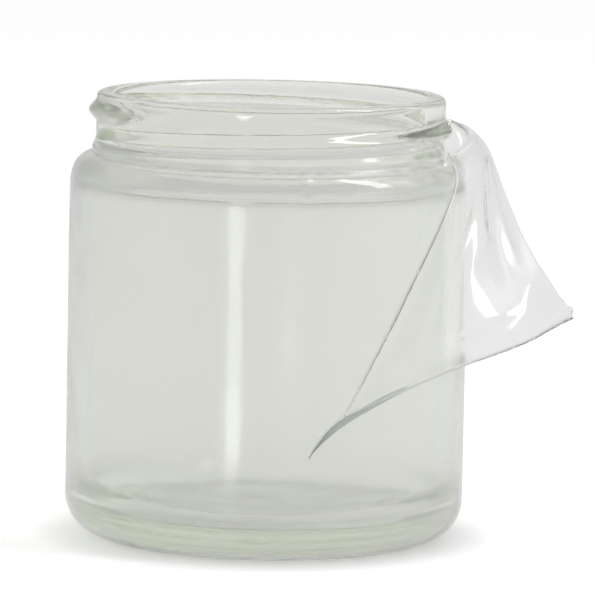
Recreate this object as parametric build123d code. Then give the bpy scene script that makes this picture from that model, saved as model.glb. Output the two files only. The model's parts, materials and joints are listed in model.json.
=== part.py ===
from build123d import *
import os
from math import asin, atan2, cos, degrees, pi, radians, sin, sqrt

# Wide-mouth screw-neck glass jar with a clear vinyl safety coating, part of it peeled back.
# Millimetres, +Z up. The origin is on the jar's axis, in the plane that the jar stands on.
# An azimuth of 0 degrees is the jar's front, -Y, and 90 degrees is its right side, +X.

# Coating
film = 0.6                  # thickness of the clear coating on the jar
film_fade = 0.25            # thickness left at the coating's top edge
collar_height = 1.7         # how far the coating climbs the neck above the shoulder
collar_fade_height = 0.9    # the stretch over which it thins to its top edge

# Glass
glass_height = 68.9         # standing ring to rim
body_diameter = 61.4
wall = 2.6                  # side wall
floor_thickness = 4.2       # glass under the inside floor, at the standing ring
heel_radius = 5.6           # outside corner at the bottom
inner_heel_radius = 6.0     # inside corner at the bottom
ring_width = 2.6            # flat standing ring
punt_depth = 1.5            # hollow under the jar
punt_slope = 2.6            # width of the slope from the standing ring into the hollow

# Screw neck, the common 58 mm continuous-thread jar finish
neck_diameter = 54.6        # neck wall under the thread
thread_depth = 1.2          # how far the thread stands out of the neck
neck_wall = 3.0             # neck wall to the bore
neck_height = 10.0          # rim to shoulder
thread_pitch = 4.233        # six turns to the inch
thread_bead_radius = 1.35   # half the width of the thread's rounded bead
thread_top_drop = 2.65      # rim to the thread's crest where it begins
thread_start = -46.0        # azimuth of the thread's upper end
thread_turns = 1.0
rim_radius = 0.8            # rounding of the rim's two edges
shoulder_drop = 5.0         # height of the rounded shoulder
inner_shoulder_drop = 5.6   # height of the inside curve from bore to wall

# Peeled area, on the outside of the coating, as azimuths and heights
slit_tip = (12.8, 16.6)     # blind end of the cut
cut_corner = (22.5, 22.6)   # where the peel line meets the cut
cut_middle = (46.0, 26.6)   # the cut rises gently to the right
cut_end = (95.0, 28.6)      # where the cut meets the tear at the jar's right
slit_opening = 0.9          # how far the slit gapes beside the corner
peel_middle = (47.0, 0.55)  # a point of the peel line: azimuth, and share of the climb to the collar
peel_top = 80.0             # azimuth of the peel line at the collar's top edge

# Flap, the coating's peeled part
flap_lift = 0.7             # clear space between the flap's inner face and the glass
flap_gap = 0.5              # clear space between the flap's outer face and the coating's edges
flap_bow = 1.2              # how far the flap's middle bows outwards at the collar
low_edge_bow = 0.3          # and at the cut
# The torn edge, from the tip up to the collar: out from the coated wall, back from the jar's
# side and down from the rim.
torn_edge = [(15.6, -14.0, 32.6), (12.3, -7.5, 27.7), (8.9, -2.5, 22.3), (6.1, 0.3, 16.5),
             (4.0, 1.5, 11.3), (2.4, 1.4, 7.6), (0.0, 0.9, 5.2), (-1.1, 0.4, 4.5)]
peel_stations = [0.0, 0.22, 0.43, 0.62, 0.79, 0.9, 0.96, 1.0]   # of the peel line's height

film_bottom = film
body_radius = body_diameter / 2
neck_radius = neck_diameter / 2
bore_radius = neck_radius - neck_wall
rim_z = film_bottom + glass_height
shoulder_z = rim_z - neck_height
collar_z = shoulder_z + collar_height
inner_radius = body_radius - wall
coated_radius = body_radius + film
standing_radius = body_radius - heel_radius
facing = (cut_corner[0] + cut_end[0]) / 2

os.makedirs("parts", exist_ok=True)


def spun(outline):
    """A solid of revolution about the jar's axis, from a closed outline of (radius, height)."""
    return revolve(Plane.XZ * make_face(outline), Axis.Z)


def shoulder_curve(grow):
    """The rounded shoulder from the neck to the side wall, grow outside the glass."""
    start = Vector(neck_radius + grow, shoulder_z + grow)
    end = Vector(body_radius + grow, shoulder_z - shoulder_drop)
    across = Vector(start.X + 0.75 * (end.X - start.X), start.Y - 0.02 * shoulder_drop)
    down = Vector(end.X, end.Y + 0.58 * shoulder_drop)
    return Bezier(start, across, down, end)


def base_curves(grow):
    """From the foot of the side wall round the heel and under the jar to the axis."""
    low = film_bottom - grow
    heel_z = film_bottom + heel_radius
    heel = heel_radius + grow
    ring_inner = standing_radius - ring_width + grow * 0.4
    punt_edge = ring_inner - punt_slope
    side_foot = (body_radius + grow, heel_z)
    standing = (standing_radius, low)
    curve = RadiusArc(side_foot, standing, heel)
    ring = Line(standing, (ring_inner, low))
    slope = Line((ring_inner, low), (punt_edge, low + punt_depth))
    ceiling = Line((punt_edge, low + punt_depth), (0, low + punt_depth))
    return [curve, ring, slope, ceiling]


def thread_point(turn, radius):
    """A point of the thread's helix, turn being the fraction of a turn from its upper end."""
    angle = radians(thread_start) - 2 * pi * turn
    height = rim_z - thread_top_drop - thread_pitch * turn
    return Vector(radius * sin(angle), -radius * cos(angle), height)


def make_thread():
    """One rounded bead that winds down the neck and ends in domes."""
    path_radius = neck_radius + thread_depth - thread_bead_radius
    low_end = thread_point(thread_turns, path_radius)
    high_end = thread_point(0, path_radius)
    winding = Helix(thread_pitch, thread_pitch * thread_turns, path_radius)
    place = Location((0, 0, low_end.Z), (0, 0, degrees(atan2(low_end.Y, low_end.X))))
    winding = place * winding
    section = Plane(winding @ 0, z_dir=winding % 0) * Circle(thread_bead_radius)
    bead = sweep(section, path=winding, is_frenet=True)
    ends = [Pos(*end) * Sphere(thread_bead_radius) for end in (low_end, high_end)]
    return bead, ends


def make_glass():
    """The moulded jar: thick floor, straight wall, rounded shoulder, screw neck and wide mouth."""
    land_outer = neck_radius - rim_radius
    land_inner = bore_radius + rim_radius
    outside = [Line((0, rim_z), (land_outer, rim_z)),
               RadiusArc((land_outer, rim_z), (neck_radius, rim_z - rim_radius), rim_radius),
               Line((neck_radius, rim_z - rim_radius), (neck_radius, shoulder_z)),
               shoulder_curve(0),
               Line((body_radius, shoulder_z - shoulder_drop),
                    (body_radius, film_bottom + heel_radius)),
               *base_curves(0)]
    floor_z = film_bottom + floor_thickness
    bore_foot = shoulder_z
    wall_top = bore_foot - inner_shoulder_drop
    corner = inner_radius - inner_heel_radius
    inside = [Line((0, rim_z), (land_inner, rim_z)),
              RadiusArc((bore_radius, rim_z - rim_radius), (land_inner, rim_z), rim_radius),
              Line((bore_radius, rim_z - rim_radius), (bore_radius, bore_foot)),
              Bezier((bore_radius, bore_foot), (bore_radius, bore_foot - 0.5 * inner_shoulder_drop),
                     (inner_radius, wall_top + 0.6 * inner_shoulder_drop), (inner_radius, wall_top)),
              Line((inner_radius, wall_top), (inner_radius, floor_z + inner_heel_radius)),
              RadiusArc((inner_radius, floor_z + inner_heel_radius), (corner, floor_z),
                        inner_heel_radius),
              Line((corner, floor_z), (0, floor_z)),
              Line((0, floor_z), (0, rim_z))]
    bead, ends = make_thread()
    neck = spun(outside + [Line((0, film_bottom + punt_depth), (0, rim_z))])
    jar = neck + bead + ends
    return jar - spun(inside)


def make_skin():
    """The whole coating before it is cut: collar, shoulder, side wall and underside."""
    root = neck_radius + film
    edge = neck_radius + film_fade
    side_top = shoulder_z - shoulder_drop
    side_foot = film_bottom + heel_radius
    outline = [Line((neck_radius, collar_z), (edge, collar_z)),
               Line((edge, collar_z), (root, collar_z - collar_fade_height)),
               Line((root, collar_z - collar_fade_height), (root, shoulder_z + film)),
               shoulder_curve(film),
               Line((coated_radius, side_top), (coated_radius, side_foot)),
               *base_curves(film),
               Line((0, punt_depth), (0, film_bottom + punt_depth)),
               *base_curves(0),
               Line((body_radius, side_foot), (body_radius, side_top)),
               shoulder_curve(0),
               Line((neck_radius, shoulder_z), (neck_radius, collar_z))]
    return spun(outline)


def outside_radius(height, grow):
    """Radius of the wall, shoulder or neck at a height, grow outside the glass."""
    curve = shoulder_curve(grow)
    if height <= (curve @ 1).Y:
        return body_radius + grow
    if height >= (curve @ 0).Y:
        return neck_radius + grow
    low, high = 0.0, 1.0
    for _ in range(30):
        middle = (low + high) / 2
        if (curve @ middle).Y > height:
            low = middle
        else:
            high = middle
    return (curve @ low).X


def peel_line():
    """The peel line, with azimuth as X and height as Y."""
    azimuth, share = peel_middle
    middle = (azimuth, cut_corner[1] + share * (collar_z - cut_corner[1]))
    return Spline(cut_corner, middle, (peel_top, collar_z))


def flat(azimuth, height):
    """A point of the coated wall, seen square on from the middle of the peeled area."""
    return (coated_radius * sin(radians(azimuth - facing)), height)


def make_window():
    """What the cut, the tear and the peel line take out of the coating."""
    slit_bottom = (cut_corner[0] + 1.0, cut_corner[1] - slit_opening)
    over_collar = collar_z + film
    peel = peel_line()
    left = [flat(*tuple(peel @ step)[:2]) for step in (0, 0.2, 0.4, 0.6, 0.8, 1)]
    outline = [Line(flat(*slit_tip), flat(*slit_bottom)),
               Spline(flat(*slit_bottom), flat(*cut_middle), flat(*cut_end)),
               Line(flat(*cut_end), flat(cut_end[0], over_collar)),
               Line(flat(cut_end[0], over_collar), flat(peel_top, over_collar)),
               Line(flat(peel_top, over_collar), left[-1]),
               Spline(*left),
               Line(left[0], flat(*slit_tip))]
    across = Plane(origin=(0, 0, 0), x_dir=(cos(radians(facing)), sin(radians(facing)), 0),
                   z_dir=(sin(radians(facing)), -cos(radians(facing)), 0))
    return extrude(across * make_face(outline), coated_radius + film)


def make_coating():
    """The coating that is still on the jar."""
    return make_skin() - make_window()


def make_flap():
    """The peeled part of the coating, straightened by the pull and still moulded at the shoulder."""
    rows = []
    for station, (out, back, down) in zip(peel_stations, torn_edge):
        height = cut_corner[1] + station * (collar_z - film - cut_corner[1])
        radius = outside_radius(height, 0) + flap_lift
        angle = radians(facing) + asin(beside_peel(height) / radius)
        attached = Vector(radius * sin(angle), -radius * cos(angle), height)
        torn = Vector(coated_radius + out, back, rim_z - down)
        bow = low_edge_bow + station * (flap_bow - low_edge_bow)
        chord = torn - attached
        outward = Vector(chord.Y, -chord.X, 0).normalized()
        rows.append([attached + chord * u + outward * bow * sin(pi * u) for u in (0, 0.25, 0.5, 0.75, 1)])
    face = Face.make_surface_from_array_of_points(rows)
    return Solid.thicken(face, film, normal_override=outward)


def beside_peel(height):
    """How far across flat()'s view the flap begins at a height, square from the peel line."""
    peel = peel_line()
    low, high = 0.0, 1.0
    for _ in range(30):
        middle = (low + high) / 2
        if (peel @ middle).Y < height:
            low = middle
        else:
            high = middle
    angle = radians((peel @ low).X - facing)
    run = peel % low
    slope = coated_radius * cos(angle) * radians(run.X) / run.Y
    return coated_radius * sin(angle) + (flap_gap + film) * sqrt(1 + slope ** 2)


export_step(make_glass(), "parts/glass_jar.step")
export_step(make_coating(), "parts/safety_coating.step")
export_step(make_flap(), "parts/peeled_flap.step")
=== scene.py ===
import json
from math import pi, radians
import bpy
import numpy as np
from mathutils import Euler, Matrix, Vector, noise
from mathutils.geometry import delaunay_2d_cdt


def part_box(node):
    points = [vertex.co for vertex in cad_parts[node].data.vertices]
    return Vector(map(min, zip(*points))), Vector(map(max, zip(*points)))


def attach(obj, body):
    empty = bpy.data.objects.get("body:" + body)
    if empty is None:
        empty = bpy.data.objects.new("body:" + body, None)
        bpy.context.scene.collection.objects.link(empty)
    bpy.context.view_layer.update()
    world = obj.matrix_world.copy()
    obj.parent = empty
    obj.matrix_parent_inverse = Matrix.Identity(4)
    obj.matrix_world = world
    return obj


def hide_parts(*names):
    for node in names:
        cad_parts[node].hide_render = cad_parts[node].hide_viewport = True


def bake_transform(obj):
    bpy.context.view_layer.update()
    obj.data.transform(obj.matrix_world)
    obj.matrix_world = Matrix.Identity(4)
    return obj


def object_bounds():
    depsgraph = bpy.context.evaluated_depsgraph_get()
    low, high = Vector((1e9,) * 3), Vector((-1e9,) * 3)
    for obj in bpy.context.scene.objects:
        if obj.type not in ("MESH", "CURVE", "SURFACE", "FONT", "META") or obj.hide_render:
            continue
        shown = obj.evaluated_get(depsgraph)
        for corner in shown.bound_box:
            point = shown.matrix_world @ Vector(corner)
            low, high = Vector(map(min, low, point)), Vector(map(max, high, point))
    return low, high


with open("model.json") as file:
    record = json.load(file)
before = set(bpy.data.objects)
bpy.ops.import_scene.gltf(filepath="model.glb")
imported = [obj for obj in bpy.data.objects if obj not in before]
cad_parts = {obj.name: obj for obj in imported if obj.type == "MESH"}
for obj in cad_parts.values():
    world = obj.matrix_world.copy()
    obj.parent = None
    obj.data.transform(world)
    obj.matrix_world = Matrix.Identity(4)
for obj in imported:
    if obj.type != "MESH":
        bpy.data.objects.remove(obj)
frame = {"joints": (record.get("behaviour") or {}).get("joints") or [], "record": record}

# A clear screw-neck glass jar with a clear vinyl coating that is slit and partly peeled back.
# Metres. An azimuth of 0 is the jar's front, -Y, and 90 degrees is its right side, +X.
cad_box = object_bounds()
MM = 0.001

# ---------------------------------------------------------------- sizes
mounts = {m["name"]: m for m in frame["record"]["mounts"]}
glass_low, glass_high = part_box("glass_jar")
coat_low, coat_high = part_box("safety_coating")
body_radius = (glass_high[0] - glass_low[0]) / 2
film = (coat_high[0] - coat_low[0]) / 2 - body_radius
rim_z = glass_high[2]
foot_z = glass_low[2]
bore_radius = mounts["mouth_bore"]["dims"]["r_mm"] * MM
crest_radius = mounts["screw_neck"]["dims"]["r_mm"] * MM
shoulder_z = rim_z - mounts["screw_neck"]["dims"]["length_mm"] * MM

# The rest of the jar's profile, as moulded
neck_wall = 3.0 * MM
wall = 2.6 * MM
floor_thickness = 4.2 * MM
floor_dish = 0.3 * MM
heel_radius = 5.6 * MM
inner_heel_radius = 6.0 * MM
ring_width = 2.6 * MM
punt_depth = 1.5 * MM
punt_slope = 2.6 * MM
rim_radius = 0.8 * MM
shoulder_drop = 5.0 * MM
inner_shoulder_drop = 5.6 * MM
corner_blend = 0.22 * MM     # softness of the moulded corners
neck_radius = bore_radius + neck_wall

# Gentle unevenness: how much, and how far across
inner_wall_waves = (0.10 * MM, 16 * MM)
inner_floor_waves = (0.05 * MM, 9 * MM)
film_waves = (0.03 * MM, 7 * MM)
loose_film_waves = (0.07 * MM, 3.2 * MM)   # where the coating came loose beside the peel

# Thread
thread_pitch = 4.233 * MM
bead_half_width = 1.85 * MM
thread_top_drop = 2.35 * MM
thread_start = radians(-44)
thread_turns = 1.12
thread_fade = 0.055          # of a turn, at each end

# Coating
bond_gap = 0.03 * MM         # keeps the two see-through surfaces apart
film_climb = 2.9 * MM        # how far the coating climbs the neck above the shoulder
film_fade_height = 1.5 * MM
film_edge = 0.12 * MM        # thickness left at the coating's top edge
seam_azimuth = 10.5          # a fold of the coating at the shoulder
seam_height = 0.2 * MM

# Peeled area: azimuths in degrees and heights in millimetres, as the cut and the tear run
slit_tip = (12.7, 16.8)
peel_corner = (22.5, 22.8)   # where the peel line meets the slit
tear_azimuth = 100.0
slit_lower = [slit_tip, (15.0, 18.3), (18.4, 19.9), (22.7, 21.6), (30.0, 23.6),
              (40.6, 25.8), (53.4, 27.4), (70.0, 28.1), (tear_azimuth, 28.6)]
slit_upper = [slit_tip, (14.4, 18.5), (17.4, 20.5), peel_corner]
peel_curve = [peel_corner, (34.5, 33.6), (47.0, 44.0), (62.0, 53.8), (72.0, 58.6), (80.0, 63.0)]
tear_wander = 0.7 * MM
edge_round = 0.30 * MM       # rounding of the film's torn and peeled edges
cut_bevel = 0.95 * MM        # height of the slanting knife cut along the slit's lower lip
bevel_run_in = 6.0           # degrees from the slit's tip over which the bevel grows
bevel_narrows = (28.0, 56.0)  # azimuths between which it narrows to a fifth
window_from = 12.0           # millimetres along the unrolled coating past which the window lies

# Flap: the torn edge, from the tip up to the collar: out from the coated wall, back from the
# jar's side and down from the rim, and the share of the peel line's height that each belongs to.
torn_edge = [(15.6, -14.0, 32.6), (12.3, -7.5, 27.7), (8.9, -2.5, 22.3), (6.1, 0.3, 16.5),
             (4.0, 1.5, 11.3), (2.4, 1.4, 7.6), (0.0, 0.9, 5.2), (-1.1, 0.4, 4.5), (-3.5, 0.2, 3.6)]
peel_stations = [0.0, 0.22, 0.43, 0.62, 0.79, 0.88, 0.94, 0.97, 1.0]
hair_gap = 0.05 * MM         # between the flap and the coating along the peel line
low_edge_bow = 0.3 * MM
low_edge_sag = 0.9 * MM      # how far the cut edge hangs below its chord, near the tip
collar_bow = 1.5 * MM
collar_tuck = 0.9 * MM       # how much of that bow is lost at the collar's very edge
collar_lift = 1.5 * MM       # how far the flap's collar edge arches up the neck, over the thread
flap_width = 14 * MM         # typical distance from the peel line to the torn edge
tear_raggedness = 0.9 * MM

# The flap's folds, out from its smooth surface
drop_height = 1.15 * MM      # a drop-shaped buckle in its middle
ridge_height = 0.45 * MM     # a ridge near the torn edge
dent_depth = 0.35 * MM       # the dent beside that ridge
curl_height = 1.2 * MM       # the torn corner's outward curl
wave_height = 0.25 * MM      # ripples of the torn corner

# Mesh fineness
sharp_angle = radians(38)             # edges that turn more than this are shaded as corners
columns = 360
row_step = 1.0 * MM
fine_step = 0.2 * MM
patch_first, patch_last = 6, 102      # the columns between which the coating is cut
patch_low_z = 13 * MM                 # and the height above which it is
patch_clearance = 0.42                # millimetres from the window in which no grid point lies
same_place = 0.004                    # millimetres within which two flat points are one
flap_across, flap_up = 84, 100


# ---------------------------------------------------------------- helpers
def smooth(x):
    """0 to 1 as x goes from 0 to 1, level at both ends."""
    x = np.clip(x, 0, 1)
    return x * x * (3 - 2 * x)


def arc(centre, radius, start, end, count=14):
    angles = np.radians(np.linspace(start, end, count))
    return np.stack([centre[0] + radius * np.cos(angles), centre[1] + radius * np.sin(angles)], 1)


def bezier(a, b, c, d, count=24):
    t = np.linspace(0, 1, count)[:, None]
    a, b, c, d = (np.array(p, float) for p in (a, b, c, d))
    return (1 - t) ** 3 * a + 3 * (1 - t) ** 2 * t * b + 3 * (1 - t) * t * t * c + t ** 3 * d


def lengths_along(points):
    return np.concatenate([[0], np.cumsum(np.linalg.norm(np.diff(points, axis=0), axis=1))])


def resample(points, at):
    along = lengths_along(points)
    return np.stack([np.interp(at, along, points[:, k]) for k in range(points.shape[1])], 1)


def through(points, count):
    """A smooth Catmull-Rom curve through a few points, as count points evenly spaced along it."""
    p = np.array(points, float)
    p = np.vstack([2 * p[0] - p[1], p, 2 * p[-1] - p[-2]])
    pieces = []
    for a, b, c, d in zip(p, p[1:], p[2:], p[3:]):
        t = np.linspace(0, 1, 24, endpoint=False)[:, None]
        pieces.append(0.5 * (2 * b + (c - a) * t + (2 * a - 5 * b + 4 * c - d) * t ** 2
                             + (3 * b - a - 3 * c + d) * t ** 3))
    pieces.append(p[-2][None])
    fine = np.vstack(pieces)
    return resample(fine, np.linspace(0, lengths_along(fine)[-1], count))


def make_object(name, points, faces):
    mesh = bpy.data.meshes.new(name)
    mesh.from_pydata([tuple(p) for p in points], [], faces)
    mesh.validate()
    mesh.update()
    mesh.shade_smooth()
    mesh.set_sharp_from_angle(angle=sharp_angle)
    made = bpy.data.objects.new(name, mesh)
    bpy.context.scene.collection.objects.link(made)
    return made


def waves(azimuth, height, size, seed):
    """Gentle unevenness over the jar, of the amount and the distance across that size gives."""
    amount, scale = size
    x = np.sin(azimuth) * body_radius / scale
    y = -np.cos(azimuth) * body_radius / scale
    z = height / scale
    places = np.stack(np.broadcast_arrays(x, y, z), -1).reshape(-1, 3)
    values = [noise.noise(Vector(p) + Vector((seed, 0, 0))) for p in places]
    return amount * np.array(values).reshape(np.broadcast(azimuth, height).shape)


# ---------------------------------------------------------------- the jar's profile
def outer_profile():
    """Radius and height of the glass outside, from the axis under the jar to the rim."""
    standing = body_radius - heel_radius
    ring_inner = standing - ring_width
    punt_edge = ring_inner - punt_slope
    slope = np.linspace(0, 1, 10)
    shoulder = bezier((body_radius, shoulder_z - shoulder_drop),
                      (body_radius, shoulder_z - 0.42 * shoulder_drop),
                      (neck_radius + 0.75 * (body_radius - neck_radius),
                       shoulder_z - 0.02 * shoulder_drop),
                      (neck_radius, shoulder_z))
    return np.vstack([
        [(0, foot_z + punt_depth)],
        np.stack([punt_edge + punt_slope * slope, foot_z + punt_depth * (1 - smooth(slope))], 1),
        arc((standing, foot_z + heel_radius), heel_radius, -90, 0),
        shoulder,
        [(neck_radius, rim_z - rim_radius)],
        arc((neck_radius - rim_radius, rim_z - rim_radius), rim_radius, 0, 90, 9)[1:]])


def inner_profile():
    """Radius and height of the glass inside, from the rim to the axis at the floor."""
    inner_radius = body_radius - wall
    floor_z = foot_z + floor_thickness
    wall_top = shoulder_z - inner_shoulder_drop
    floor = np.linspace(inner_radius - inner_heel_radius, 0, 12)
    dish = floor_dish * (1 - (floor / floor[0]) ** 2)
    return np.vstack([
        arc((bore_radius + rim_radius, rim_z - rim_radius), rim_radius, 90, 180, 9),
        bezier((bore_radius, shoulder_z), (bore_radius, shoulder_z - 0.5 * inner_shoulder_drop),
               (inner_radius, wall_top + 0.6 * inner_shoulder_drop), (inner_radius, wall_top)),
        arc((inner_radius - inner_heel_radius, floor_z + inner_heel_radius),
            inner_heel_radius, 0, -90),
        np.stack([floor, floor_z - dish], 1)[1:]])


def softened(points, blend):
    """The same outline with its corners rounded a little and its ends kept."""
    step = blend / 3
    along = lengths_along(points)
    fine = resample(points, np.arange(0, along[-1], step))
    reach = int(4 * blend / step)
    weights = np.exp(-0.5 * (np.arange(-reach, reach + 1) * step / blend) ** 2)
    weights /= weights.sum()
    padded = np.vstack([np.repeat(fine[:1], reach, 0), fine, np.repeat(fine[-1:], reach, 0)])
    rounded = np.stack([np.convolve(padded[:, k], weights, "valid") for k in range(2)], 1)
    rounded[0], rounded[-1] = points[0], points[-1]
    return rounded


def spaced(points, fine_band):
    """The outline's points, close together on bends and in the band of heights given."""
    along = lengths_along(points)
    tangent = np.gradient(points, along, axis=0)
    turn = np.abs(np.gradient(np.unwrap(np.arctan2(tangent[:, 1], tangent[:, 0])), along))
    step = np.minimum(row_step, 0.09 / np.maximum(turn, 1e-6))
    low, high = fine_band
    step = np.where((points[:, 1] > low) & (points[:, 1] < high), fine_step, step)
    step = np.clip(step, 0.08 * MM, row_step)
    density = np.concatenate([[0], np.cumsum(np.diff(along) / step[1:])])
    count = int(density[-1]) + 1
    at = np.interp(np.linspace(0, density[-1], count), density, along)
    return resample(points, at)


def thread_height(azimuth, height):
    """How far the thread stands out of the neck at an azimuth and height."""
    depth = crest_radius - neck_radius
    first = ((thread_start - azimuth) / (2 * pi)) % 1.0
    most = np.zeros(np.broadcast(azimuth, height).shape)
    for turn in (first, first + 1):
        run_in = smooth(turn / thread_fade) * smooth((thread_turns - turn) / thread_fade)
        crest_z = rim_z - thread_top_drop - thread_pitch * turn
        half = bead_half_width * (0.45 + 0.55 * run_in)
        across = np.clip(np.abs(height - crest_z) / half, 0, 1)
        bead = 0.2 * np.sqrt(1 - across ** 2) * (1 - across ** 4) + 0.8 * (1 - smooth(across))
        most = np.maximum(most, depth * run_in * bead)
    return most


def make_glass():
    """The moulded jar as one closed surface of revolution, with its thread worked into the neck."""
    thread_zone = (shoulder_z - 0.5 * MM, rim_z - rim_radius)
    outside = spaced(softened(outer_profile(), corner_blend), thread_zone)
    no_zone = (rim_z, rim_z)
    within = spaced(softened(inner_profile(), corner_blend), no_zone)
    profile = np.vstack([outside, within[1:]])
    is_outside = np.arange(len(profile)) < len(outside)
    azimuth = np.arange(columns) * 2 * pi / columns
    radius = np.repeat(profile[:, :1], columns, 1)
    height = np.repeat(profile[:, 1:], columns, 1)
    on_neck = is_outside & (profile[:, 1] > shoulder_z) & (profile[:, 1] < rim_z - rim_radius)
    radius[on_neck] += thread_height(azimuth[None], height[on_neck])
    floor_edge = bore_radius * 0.5
    inner_wall = ~is_outside & (profile[:, 0] > floor_edge)
    radius[inner_wall] += waves(azimuth[None], height[inner_wall], inner_wall_waves, 3.0)
    inner_floor = ~is_outside & (profile[:, 0] <= floor_edge) & (profile[:, 0] > 0)
    height[inner_floor] += waves(azimuth[None], radius[inner_floor], inner_floor_waves, 7.0)
    points = np.stack([radius * np.sin(azimuth), -radius * np.cos(azimuth), height], -1)
    rows = len(profile)
    ring = points[1:-1].reshape(-1, 3)
    pole_low, pole_high = len(ring), len(ring) + 1
    points = np.vstack([ring, points[0, :1], points[-1, :1]])
    faces = []
    for j in range(columns):
        k = (j + 1) % columns
        faces.append((pole_low, k, j))
        for i in range(rows - 3):
            a, b = i * columns, (i + 1) * columns
            faces.append((a + j, a + k, b + k, b + j))
        last = (rows - 3) * columns
        faces.append((last + j, last + k, pole_high))
    return make_object("glass_jar_moulded", points, faces)


# ---------------------------------------------------------------- the coating
coat_top_z = shoulder_z + film_climb
coat_profile = spaced(softened(outer_profile(), corner_blend), (shoulder_z - 0.5 * MM, coat_top_z))
coat_profile = coat_profile[:np.argmax(coat_profile[:, 1] > coat_top_z)]
coat_along = lengths_along(coat_profile)
coat_tangent = np.gradient(coat_profile, coat_along, axis=0)
coat_tangent /= np.linalg.norm(coat_tangent, axis=1)[:, None]
coat_top = coat_along[-1]


def along_of(height):
    """Distance along the coated profile of a height on the wall, shoulder or collar."""
    wall_rows = coat_profile[:, 1] > foot_z + heel_radius * 0.5
    return np.interp(height, coat_profile[wall_rows, 1], coat_along[wall_rows])


def on_coating(azimuth, along, share):
    """Places on the coating: share 0 is its inner face and 1 its outer face."""
    azimuth, along = np.broadcast_arrays(np.asarray(azimuth, float), np.asarray(along, float))
    radius = np.interp(along, coat_along, coat_profile[:, 0])
    height = np.interp(along, coat_along, coat_profile[:, 1])
    across = np.interp(along, coat_along, coat_tangent[:, 0])
    up = np.interp(along, coat_along, coat_tangent[:, 1])
    fade = smooth((coat_top - along) / film_fade_height)
    thick = film_edge + (film - film_edge) * fade
    uneven = np.zeros(azimuth.shape)
    if share > 0:
        uneven += fade * waves(azimuth, height, film_waves, 11.0)
        degree = np.degrees(azimuth)
        on_shoulder = smooth((height - shoulder_z + 4 * MM) / (2 * MM)) * fade
        uneven += seam_height * on_shoulder * np.exp(-((degree - seam_azimuth) / 1.1) ** 2)
        loosened = smooth((degree - seam_azimuth) / 8) * smooth((tear_azimuth - degree) / 30)
        uneven += on_shoulder * loosened * waves(azimuth, height, loose_film_waves, 5.0)
    offset = bond_gap + share * (thick - bond_gap + uneven)
    on_neck = height > shoulder_z
    bead = np.where(on_neck, thread_height(azimuth, height), 0)
    radius = np.maximum(radius + up * offset + bead, 0)
    height = height - across * offset
    return np.stack([radius * np.sin(azimuth), -radius * np.cos(azimuth), height], -1)


def flat_curve(points, count):
    """A curve given in azimuth and height, as places on the unrolled coating in millimetres."""
    return through([(a * degree_width, along_of(z * MM) / MM) for a, z in points], count)


degree_width = radians(1) * body_radius / MM
peel_flat = flat_curve(peel_curve, 150)
peel_flat[-1, 1] = coat_top / MM


def window_outline():
    """The edge of what the cut, the tear and the peel line take out of the coating."""
    lower = flat_curve(slit_lower, 240)
    upper = flat_curve(slit_upper, 40)
    tear_from = lower[-1, 1]
    climb = np.linspace(tear_from, coat_top / MM, 110)
    slow = np.array([noise.noise(Vector((0.13 * y, 1.7, 0))) for y in climb])
    quick = np.array([noise.noise(Vector((0.6 * y, 0, 2.0))) for y in climb])
    wander = (2 * slow + 0.5 * quick) * smooth((climb - tear_from) / 4) * tear_wander / MM
    tear = np.stack([tear_azimuth * degree_width + wander, climb], 1)
    return lower, tear, peel_flat[::-1], upper[::-1]


def inside(polygon, points):
    """Which points lie inside a closed outline."""
    x, y = points[:, :1], points[:, 1:]
    a, b = polygon, np.roll(polygon, -1, 0)
    cross = (a[:, 1] > y) != (b[:, 1] > y)
    with np.errstate(divide="ignore", invalid="ignore"):
        at = a[:, 0] + (y - a[:, 1]) * (b[:, 0] - a[:, 0]) / (b[:, 1] - a[:, 1])
    return (np.where(cross, x < at, False).sum(1) % 2) == 1


def distances(points, line):
    """How far each point is from the nearest point of a line."""
    return np.array([np.hypot(*(line - p).T).min() for p in points])


def beside(outline):
    """Rows of points just outside the window, which the rounding of the film's edge bends on."""
    ahead = np.roll(outline, -1, 0) - np.roll(outline, 1, 0)
    ahead /= np.hypot(*ahead.T)[:, None]
    square = np.stack([ahead[:, 1], -ahead[:, 0]], 1)
    rows = []
    for share in (0.12, 0.3, 0.6, 1.0):
        step = share * edge_round / MM
        row = outline + square * step
        clear = distances(row, outline) > 0.9 * step
        row = row[clear & (row[:, 1] < coat_top / MM - 0.01)]
        rows.append(row[~inside(outline, row)])
    return np.vstack(rows)


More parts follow.
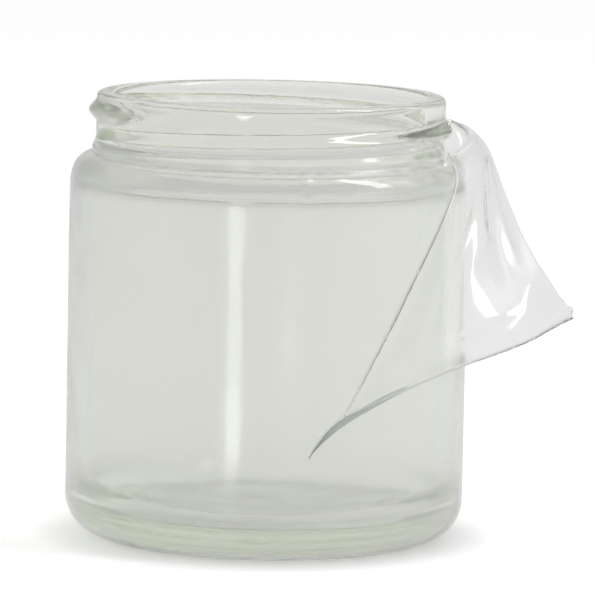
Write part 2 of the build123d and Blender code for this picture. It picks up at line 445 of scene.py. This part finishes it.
def coating_sheet(pieces):
    """The coating unrolled, with the window cut out: its points in millimetres and its faces."""
    rows = len(coat_profile)
    first_row = int(np.argmax(coat_profile[:, 1] > patch_low_z))
    flat, keys = [], {}

    def vertex(x, y):
        key = (round(x, 4), round(y, 4))
        if key not in keys:
            keys[key] = len(flat)
            flat.append((x, y))
        return keys[key]

    column_width = degree_width * 360 / columns

    def node(i, j):
        return vertex((j % columns) * column_width, coat_along[i] / MM) if i else vertex(0, 0)

    faces = []
    for j in range(columns):
        faces.append((node(0, j), node(1, j + 1), node(1, j)))
        for i in range(1, rows - 1):
            if i < first_row or not patch_first <= j < patch_last:
                faces.append((node(i, j), node(i, j + 1), node(i + 1, j + 1), node(i + 1, j)))
    lower, tear, peel, upper = pieces
    outline = np.vstack([lower[:-1], tear, peel, upper[1:-1]])
    grid = np.array([(j * column_width, coat_along[i] / MM)
                     for i in range(first_row, rows) for j in range(patch_first, patch_last + 1)])
    on_side = (grid[:, 0] <= grid[:, 0].min()) | (grid[:, 0] >= grid[:, 0].max())
    on_edge = on_side | (grid[:, 1] <= grid[:, 1].min())
    keep = ~inside(outline, grid) & ((distances(grid, outline) > patch_clearance) | on_edge)
    kept = np.vstack([grid[keep], beside(outline)])
    loop = [Vector(p) for p in outline]
    edges = [(k, (k + 1) % len(loop)) for k in range(len(loop))]
    places, _, cells, _, _, _ = delaunay_2d_cdt(loop + [Vector(p) for p in kept], edges, [], 0, 1e-6)
    places = np.array([tuple(p) for p in places])
    for cell in cells:
        corners = places[list(cell)]
        if inside(outline, corners.mean(0)[None])[0]:
            continue
        area = np.cross(corners[1] - corners[0], corners[2] - corners[0])
        if abs(area) < 1e-7:
            continue
        order = list(cell) if area > 0 else list(cell)[::-1]
        faces.append(tuple(vertex(*places[c]) for c in order))
    return np.array(flat), faces


def make_coating():
    """The coating still on the jar: the sheet wrapped round the glass, thickened, and cut on a bevel."""
    pieces = window_outline()
    flat, faces = coating_sheet(pieces)
    azimuth, along = flat[:, 0] / degree_width * radians(1), flat[:, 1] * MM
    near = np.where((flat[:, 0] > 0) & (flat[:, 1] > window_from))[0]
    lip = near[distances(flat[near], pieces[0]) < same_place]
    degree = flat[lip, 0] / degree_width
    narrows_from, narrows_to = bevel_narrows
    narrowed = 1 - 0.8 * smooth((degree - narrows_from) / (narrows_to - narrows_from))
    inner_along = along.copy()
    inner_along[lip] += cut_bevel * smooth((degree - slit_tip[0]) / bevel_run_in) * narrowed
    middle = on_coating(azimuth, along, 0.5)
    outer = on_coating(azimuth, along, 1)
    inner = on_coating(azimuth, inner_along, 0)
    outer_share = np.ones(len(flat))
    outer_share[near] = round_edge(distances(flat[near], np.vstack(pieces[1:])) * MM)
    inner_share = outer_share.copy()
    inner_share[lip] = 1
    outer = middle + (outer - middle) * outer_share[:, None]
    inner = middle + (inner - middle) * inner_share[:, None]
    points, solid = thickened(outer, inner, faces)
    coating = make_object("safety_coating_skin", points, solid)
    # The bevel's faces take the cut face material, whose dark grey is painted shade.
    cut = set(lip.tolist())
    for polygon in coating.data.polygons:
        corners = polygon.vertices
        if len(corners) == 4 and all(v % len(flat) in cut for v in corners):
            polygon.material_index = 1
    return coating


def round_edge(distance):
    """The share of its thickness that a sheet has at a distance from its rounded edge."""
    inward = np.clip(distance / edge_round, 0, 1)
    return np.sqrt(np.maximum(1 - (1 - inward) ** 2, 0.004))


def thickened(outer, inner, faces):
    """A closed solid between two copies of a sheet, walled along the sheet's open edges."""
    count = len(outer)
    used = set()
    for face in faces:
        used.update(zip(face, face[1:] + face[:1]))
    solid = list(faces) + [tuple(v + count for v in reversed(face)) for face in faces]
    for a, b in used:
        if (b, a) not in used:
            solid.append((b, a, a + count, b + count))
    return np.vstack([outer, inner]), solid


# ---------------------------------------------------------------- the flap
def made_unit(vectors):
    return vectors / np.linalg.norm(vectors, axis=-1, keepdims=True)


def make_flap():
    """The peeled part of the coating, from the peel line straight out to its torn edge, with folds."""
    heights = np.interp(peel_flat[:, 1], coat_along / MM, coat_profile[:, 1])
    share = (heights - heights[0]) / (heights[-1] - heights[0])
    azimuth = (peel_flat[:, 0] / degree_width) * radians(1) + hair_gap / body_radius
    low = on_coating(azimuth, peel_flat[:, 1] * MM, 0.0)
    high = on_coating(azimuth, peel_flat[:, 1] * MM, 1.0)
    stations = through(np.column_stack([peel_stations, torn_edge]), 300)
    coated = body_radius + film
    torn = np.stack([coated + stations[:, 1] * MM, stations[:, 2] * MM, rim_z - stations[:, 3] * MM], 1)
    # Rows are spread evenly over the mean length of the two sides, and closer at the cut and the collar
    mean_length = 0.5 * (np.interp(share, stations[:, 0], lengths_along(torn)) + lengths_along(high))
    full_length = mean_length[-1]
    hem = edge_round * np.array([0, 0.06, 0.25, 0.55, 1.0])
    middle_rows = np.linspace(0, full_length, flap_up)[2:-2]
    along_rows = np.concatenate([hem, middle_rows, full_length - hem[::-1]])
    at = np.interp(along_rows, mean_length, share)
    left_low = np.stack([np.interp(at, share, low[:, k]) for k in range(3)], 1)
    left_high = np.stack([np.interp(at, share, high[:, k]) for k in range(3)], 1)
    right = np.stack([np.interp(at, stations[:, 0], torn[:, k]) for k in range(3)], 1)
    hem_share = hem / flap_width
    steps = np.concatenate([hem_share, np.linspace(0, 1, flap_across)[2:-2], 1 - hem_share[::-1]])
    u = steps[None, :, None]
    left = (left_low + left_high)[:, None] / 2
    chord = right[:, None] - left
    out = made_unit(np.stack([chord[..., 1], -chord[..., 0], np.zeros(chord.shape[:2])], -1))
    rise = at[:, None, None]
    bow = low_edge_bow + (collar_bow - low_edge_bow) * rise - collar_tuck * smooth((rise - 0.95) / 0.05)
    shape = left + chord * u + out * (bow * np.sin(pi * u) + folds(u, rise))
    shape[..., 2:] += collar_lift * np.sin(pi * u) * smooth((rise - 0.93) / 0.07)
    sagging = smooth((u - 0.4) / 0.42) * (1 - smooth((u - 0.82) / 0.18)) * smooth((0.35 - rise) / 0.35)
    shape[..., 2:] -= low_edge_sag * sagging
    shape = shape + made_unit(chord) * ragged(u, rise)
    normal = made_unit(np.cross(np.gradient(shape, axis=1), np.gradient(shape, axis=0)))
    # Beside the peel line, the film's faces meet those of the coating
    film_normal = made_unit((left_high - left_low)[:, None])
    join = 1 - smooth(u / 0.08)
    normal = made_unit(film_normal * join + normal * (1 - join))
    half = np.linalg.norm(left_high - left_low, axis=1)[:, None, None] / 2
    width = np.linalg.norm(chord, axis=-1, keepdims=True)
    from_ends = np.minimum(along_rows, full_length - along_rows)[:, None, None]
    half = half * round_edge(np.minimum(width * np.minimum(u, 1 - u), from_ends))
    outer = (shape + normal * half).reshape(-1, 3)
    inner = (shape - normal * half).reshape(-1, 3)
    faces = []
    across = len(steps)
    for i in range(len(at) - 1):
        for j in range(across - 1):
            a = i * across + j
            faces.append((a, a + 1, a + 1 + across, a + across))
    return make_object("peeled_flap_film", *thickened(outer, inner, faces))


def folds(u, rise):
    """How far the flap's film stands out of its smooth surface. u runs from the peel line to the
    torn edge, and rise from the cut to the collar, both 0 to 1."""
    widening = 0.09 + 0.105 * smooth((0.75 - rise) / 0.5)
    centre = 0.57 - 0.04 * rise
    below_collar = smooth((0.88 - rise) / 0.12)
    drop_end = smooth((rise - 0.12) / 0.08) * smooth((0.86 - rise) / 0.38)
    drop = np.exp(-np.abs((u - centre) / widening) ** 2.6) * drop_end
    narrowing = 1 - 0.9 * smooth((rise - 0.35) / 0.4)
    ridge = np.exp(-((u - 0.86) / 0.05) ** 2) * smooth((rise - 0.22) / 0.25) * below_collar * narrowing
    dent = np.exp(-((u - 0.77) / 0.06) ** 2) * smooth((rise - 0.25) / 0.25) * below_collar * narrowing
    curl = smooth((u - 0.86) / 0.14) * smooth((0.32 - rise) / 0.3)
    wave = np.sin(23 * rise + 5 * u) * smooth((u - 0.8) / 0.2) * smooth((0.3 - rise) / 0.2)
    buckles = drop_height * drop + ridge_height * ridge - dent_depth * dent
    return buckles + curl_height * curl + wave_height * wave


def ragged(u, rise):
    """How far the torn edge reaches past its line, mostly near its corner at the cut."""
    slow = np.array([noise.noise(Vector((9 * r, 0.3, 0))) for r in rise.ravel()])
    quick = np.array([noise.noise(Vector((31 * r, 4.0, 1))) for r in rise.ravel()])
    wander = (slow + 0.5 * quick)[:, None, None]
    near_corner = 0.2 + 0.8 * smooth((0.2 - rise) / 0.16)
    below_collar = smooth((0.95 - rise) / 0.1)
    return tear_raggedness * wander * smooth((u - 0.85) / 0.15) * near_corner * below_collar


# ---------------------------------------------------------------- materials
lamp_passes = 0.90       # share of a lamp's light that each clear surface lets on
floor_grey = 0.82
floor_lift = 0.33        # brings the floor to white for the camera
floor_lift_in_shade_ring = 0.12   # the same close to the jar, which paints a darker ring of shade round its foot
painted_shade_ring = (-1 * MM, 7 * MM)   # from the coated wall: where that ring of painted shade ends and fades out
floor_lift_seen_through = 0.06    # and for glass and gloss
studio_even = 0.95       # the world as a light, and as glass and gloss see it low down and overhead
studio_low = 0.82
studio_high = 0.66


def link(tree, source, target):
    tree.links.new(source, target)


def add_ripples(tree, shader, scale, height):
    """Slight unevenness of the surface, as a bump."""
    places = tree.nodes.new("ShaderNodeTexCoord")
    ripple = tree.nodes.new("ShaderNodeTexNoise")
    ripple.inputs["Scale"].default_value = scale
    ripple.inputs["Detail"].default_value = 1.5
    bump = tree.nodes.new("ShaderNodeBump")
    bump.inputs["Distance"].default_value = height
    bump.inputs["Strength"].default_value = 1
    link(tree, places.outputs["Object"], ripple.inputs["Vector"])
    link(tree, ripple.outputs["Fac"], bump.inputs["Height"])
    link(tree, bump.outputs["Normal"], shader.inputs["Normal"])


def add_smudges(tree, shader, low, high):
    """Roughness that differs a little from place to place."""
    places = tree.nodes.new("ShaderNodeTexCoord")
    smudge = tree.nodes.new("ShaderNodeTexNoise")
    smudge.inputs["Scale"].default_value = 60
    smudge.inputs["Detail"].default_value = 4
    spread = tree.nodes.new("ShaderNodeMapRange")
    spread.inputs["From Min"].default_value = 0.45
    spread.inputs["From Max"].default_value = 0.75
    spread.inputs["To Min"].default_value = low
    spread.inputs["To Max"].default_value = high
    link(tree, places.outputs["Object"], smudge.inputs["Vector"])
    link(tree, smudge.outputs["Fac"], spread.inputs["Value"])
    link(tree, spread.outputs["Result"], shader.inputs["Roughness"])


def clear_material(name, colour, clearness, roughness, ior, ripples, absorb=None):
    """A clear solid: it bends what is behind it, tints it a little, and lets lamps through.
    roughness is a lowest and a highest value, and ripples a noise scale and a height."""
    made = bpy.data.materials.new(name)
    made.use_nodes = True
    tree = made.node_tree
    tree.nodes.clear()
    output = tree.nodes.new("ShaderNodeOutputMaterial")
    shader = tree.nodes.new("ShaderNodeBsdfPrincipled")
    shader.inputs["Base Color"].default_value = (*colour, 1)
    shader.inputs["Transmission Weight"].default_value = clearness
    shader.inputs["IOR"].default_value = ior
    add_ripples(tree, shader, *ripples)
    low, high = roughness
    if high > low:
        add_smudges(tree, shader, low, high)
    else:
        shader.inputs["Roughness"].default_value = low
    path = tree.nodes.new("ShaderNodeLightPath")
    clear = tree.nodes.new("ShaderNodeBsdfTransparent")
    clear.inputs["Color"].default_value = (*(lamp_passes * c for c in colour), 1)
    mix = tree.nodes.new("ShaderNodeMixShader")
    link(tree, path.outputs["Is Shadow Ray"], mix.inputs["Fac"])
    link(tree, shader.outputs["BSDF"], mix.inputs[1])
    link(tree, clear.outputs["BSDF"], mix.inputs[2])
    link(tree, mix.outputs["Shader"], output.inputs["Surface"])
    if absorb:
        inside_it = tree.nodes.new("ShaderNodeVolumeAbsorption")
        inside_it.inputs["Color"].default_value = (*absorb[0], 1)
        inside_it.inputs["Density"].default_value = absorb[1]
        link(tree, inside_it.outputs["Volume"], output.inputs["Volume"])
    return made


def cut_face_painted_shade_material():
    """The knife-cut face of the vinyl: matte, with fine drag marks. Its dark grey is painted shade,
    standing in for the shadowed, light-bending opening of the slit.
    """
    made = bpy.data.materials.new("cut_vinyl_painted_shade")
    made.use_nodes = True
    tree = made.node_tree
    shader = tree.nodes["Principled BSDF"]
    shader.inputs["Roughness"].default_value = 0.6
    shader.inputs["IOR"].default_value = 1.5
    places = tree.nodes.new("ShaderNodeTexCoord")
    drag = tree.nodes.new("ShaderNodeTexNoise")
    drag.inputs["Scale"].default_value = 900
    drag.inputs["Detail"].default_value = 2
    # Painted shade: the face is a dark grey that varies at random with the drag marks, standing in for
    # the shade in the opened slit.
    painted_shade_tone = tree.nodes.new("ShaderNodeMix")
    painted_shade_tone.data_type = "RGBA"
    painted_shade_tone.inputs["A"].default_value = (0.38, 0.41, 0.38, 1)
    painted_shade_tone.inputs["B"].default_value = (0.50, 0.53, 0.50, 1)
    link(tree, places.outputs["Object"], drag.inputs["Vector"])
    link(tree, drag.outputs["Fac"], painted_shade_tone.inputs["Factor"])
    link(tree, painted_shade_tone.outputs["Result"], shader.inputs["Base Color"])
    return made


def floor_material():
    """Pale seamless paper. To the camera it is lifted to white, less so close to the jar, where the
    lower lift paints a ring of shade round its foot and keeps its contact shadow dark."""
    made = bpy.data.materials.new("paper")
    made.use_nodes = True
    tree = made.node_tree
    tree.nodes.clear()
    output = tree.nodes.new("ShaderNodeOutputMaterial")
    paper = tree.nodes.new("ShaderNodeBsdfDiffuse")
    paper.inputs["Color"].default_value = (floor_grey, floor_grey, floor_grey, 1)
    lift = tree.nodes.new("ShaderNodeEmission")
    lift.inputs["Color"].default_value = (1, 1, 1, 1)
    add = tree.nodes.new("ShaderNodeAddShader")
    path = tree.nodes.new("ShaderNodeLightPath")
    direct = tree.nodes.new("ShaderNodeMath")
    direct.operation = "MULTIPLY"
    places = tree.nodes.new("ShaderNodeTexCoord")
    reach = tree.nodes.new("ShaderNodeVectorMath")
    reach.operation = "LENGTH"
    # Painted shade: the lift is lower in a ring round the jar's foot, darkening the floor there.
    shade_ring_lift = tree.nodes.new("ShaderNodeMapRange")
    shade_ring_lift.interpolation_type = "SMOOTHSTEP"
    shade_ring_lift.inputs["From Min"].default_value = body_radius + film + painted_shade_ring[0]
    shade_ring_lift.inputs["From Max"].default_value = body_radius + film + painted_shade_ring[1]
    shade_ring_lift.inputs["To Min"].default_value = floor_lift_in_shade_ring
    shade_ring_lift.inputs["To Max"].default_value = floor_lift
    link(tree, places.outputs["Object"], reach.inputs[0])
    link(tree, reach.outputs["Value"], shade_ring_lift.inputs["Value"])
    link(tree, shade_ring_lift.outputs["Result"], direct.inputs[1])
    refracted = tree.nodes.new("ShaderNodeMath")
    refracted.operation = "MAXIMUM"
    total = tree.nodes.new("ShaderNodeMath")
    total.operation = "MULTIPLY_ADD"
    total.inputs[1].default_value = floor_lift_seen_through
    link(tree, path.outputs["Is Camera Ray"], direct.inputs[0])
    link(tree, path.outputs["Is Glossy Ray"], refracted.inputs[0])
    link(tree, path.outputs["Is Transmission Ray"], refracted.inputs[1])
    link(tree, refracted.outputs[0], total.inputs[0])
    link(tree, direct.outputs[0], total.inputs[2])
    link(tree, total.outputs[0], lift.inputs["Strength"])
    link(tree, paper.outputs["BSDF"], add.inputs[0])
    link(tree, lift.outputs["Emission"], add.inputs[1])
    link(tree, add.outputs["Shader"], output.inputs["Surface"])
    return made


def make_world():
    """A white studio. Glass and gloss see it dimmer overhead, and the camera sees it white."""
    world = bpy.data.worlds.new("studio")
    bpy.context.scene.world = world
    world.use_nodes = True
    tree = world.node_tree
    tree.nodes.clear()
    output = tree.nodes.new("ShaderNodeOutputWorld")
    even = tree.nodes.new("ShaderNodeBackground")
    even.inputs["Strength"].default_value = studio_even
    graded = tree.nodes.new("ShaderNodeBackground")
    direct = tree.nodes.new("ShaderNodeBackground")
    direct.inputs["Color"].default_value = (1, 1, 1, 1)
    places = tree.nodes.new("ShaderNodeTexCoord")
    split = tree.nodes.new("ShaderNodeSeparateXYZ")
    height = tree.nodes.new("ShaderNodeMapRange")
    height.interpolation_type = "SMOOTHSTEP"
    height.inputs["From Min"].default_value = 0.25
    height.inputs["From Max"].default_value = 0.65
    height.inputs["To Min"].default_value = studio_low
    height.inputs["To Max"].default_value = studio_high
    link(tree, places.outputs["Generated"], split.inputs["Vector"])
    link(tree, split.outputs["Z"], height.inputs["Value"])
    link(tree, height.outputs["Result"], graded.inputs["Strength"])
    path = tree.nodes.new("ShaderNodeLightPath")
    through_glass = tree.nodes.new("ShaderNodeMath")
    through_glass.operation = "MAXIMUM"
    link(tree, path.outputs["Is Glossy Ray"], through_glass.inputs[0])
    link(tree, path.outputs["Is Transmission Ray"], through_glass.inputs[1])
    indirect = tree.nodes.new("ShaderNodeMixShader")
    link(tree, through_glass.outputs[0], indirect.inputs["Fac"])
    link(tree, even.outputs["Background"], indirect.inputs[1])
    link(tree, graded.outputs["Background"], indirect.inputs[2])
    mix = tree.nodes.new("ShaderNodeMixShader")
    link(tree, path.outputs["Is Camera Ray"], mix.inputs["Fac"])
    link(tree, indirect.outputs["Shader"], mix.inputs[1])
    link(tree, direct.outputs["Background"], mix.inputs[2])
    link(tree, mix.outputs["Shader"], output.inputs["Surface"])


# ---------------------------------------------------------------- stage
def make_floor():
    half = 3.0
    z = cad_box[0][2]
    corners = [(-half, -half, z), (half, -half, z), (half, half, z), (-half, half, z)]
    floor = make_object("floor", corners, [(0, 1, 2, 3)])
    floor.data.materials.append(floor_material())


def softbox(name, place, target, width, height, radiance, lights_surfaces=True, shape="RECTANGLE"):
    """A soft lamp that faces a point. radiance is how bright a rectangle's face looks. An ellipse
    gives the same light from a smaller face, which looks 4 / pi times as bright."""
    lamp = bpy.data.lights.new(name, "AREA")
    lamp.shape = shape
    lamp.size, lamp.size_y = width, height
    lamp.energy = radiance * pi * width * height
    made = bpy.data.objects.new(name, lamp)
    made.location = place
    made.rotation_euler = (Vector(target) - Vector(place)).to_track_quat("-Z", "Y").to_euler()
    made.visible_camera = False
    made.visible_diffuse = lights_surfaces
    made.visible_transmission = False
    bpy.context.scene.collection.objects.link(made)


def make_camera():
    """The photographer's view: a long lens a little above the rim."""
    distance, height = 0.7796, 0.1345
    tilt, turn, roll = 7.126, 0.347, 1.185
    lens_data = bpy.data.cameras.new("camera")
    lens_data.sensor_width = 36
    lens_data.lens = 300.1
    camera = bpy.data.objects.new("camera", lens_data)
    camera.location = (0, -distance, height)
    look = Euler((radians(90 - tilt), 0, radians(-turn))).to_matrix()
    camera.rotation_euler = (look @ Euler((0, 0, radians(roll))).to_matrix()).to_euler()
    bpy.context.scene.collection.objects.link(camera)
    bpy.context.scene.camera = camera


def set_render_paths():
    """Enough bounces for light to pass both walls, the coating and the flap, and to go on being
    reflected round inside the neck, where too few glossy ones leave dark wedges."""
    scene = bpy.context.scene
    scene.cycles.max_bounces = 60
    scene.cycles.transmission_bounces = 60
    scene.cycles.glossy_bounces = 50
    scene.cycles.transparent_max_bounces = 40
    scene.view_settings.view_transform = "Standard"


make_camera()
make_world()
make_floor()
softbox("right_softbox", (0.69, -0.20, 0.82), (0, 0, 0.055), 0.18, 0.75, 8.0)
# A narrow window on the left, seen only as a reflection in the jar's front. It is made of strips
# close to the jar: each one's height, width, length upwards, radiance and shape.
strip_x, strip_y = -0.0324, -0.1166
front_y = -0.031             # the jar's front, which they face
strips = {"left_strip": (0.0265, 0.014, 0.051, 3.0, "RECTANGLE"),
          "strip_foot": (0.0075, 0.016, 0.014, 3.6, "ELLIPSE"),
          "strip_head": (0.042, 0.019, 0.014, 1.5, "ELLIPSE"),
          "strip_neck": (0.0608, 0.022, 0.0028, 5.0, "ELLIPSE")}
for name, (z, width, length, radiance, shape) in strips.items():
    softbox(name, (strip_x, strip_y, z), (0, front_y, z), width, length, radiance, False, shape)
set_render_paths()

flint_glass = clear_material("flint_glass", (0.955, 0.96, 0.94), 0.97, (0.03, 0.03), 1.52,
                             (90, 0.02 * MM), absorb=((0.86, 0.93, 0.70), 10))
clear_vinyl = clear_material("clear_vinyl", (0.975, 0.98, 0.97), 0.93, (0.10, 0.17), 1.50,
                             (260, 0.03 * MM))

glass = make_glass()
glass.data.materials.append(flint_glass)
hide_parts("glass_jar")
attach(glass, "jar")

coating = make_coating()
coating.data.materials.append(clear_vinyl)
coating.data.materials.append(cut_face_painted_shade_material())
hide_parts("safety_coating")
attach(coating, "jar")

flap = make_flap()
flap.data.materials.append(clear_vinyl)
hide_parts("peeled_flap")
hinge = frame["joints"][0]
hinge_point = Vector(hinge["pos_m"])
hinge_line = Vector(hinge["axis"]).normalized()
outward = Vector((hinge_point.x, hinge_point.y, 0)).normalized()
away = outward.cross(hinge_line).normalized()
if away.x < 0:
    away.negate()
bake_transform(flap)
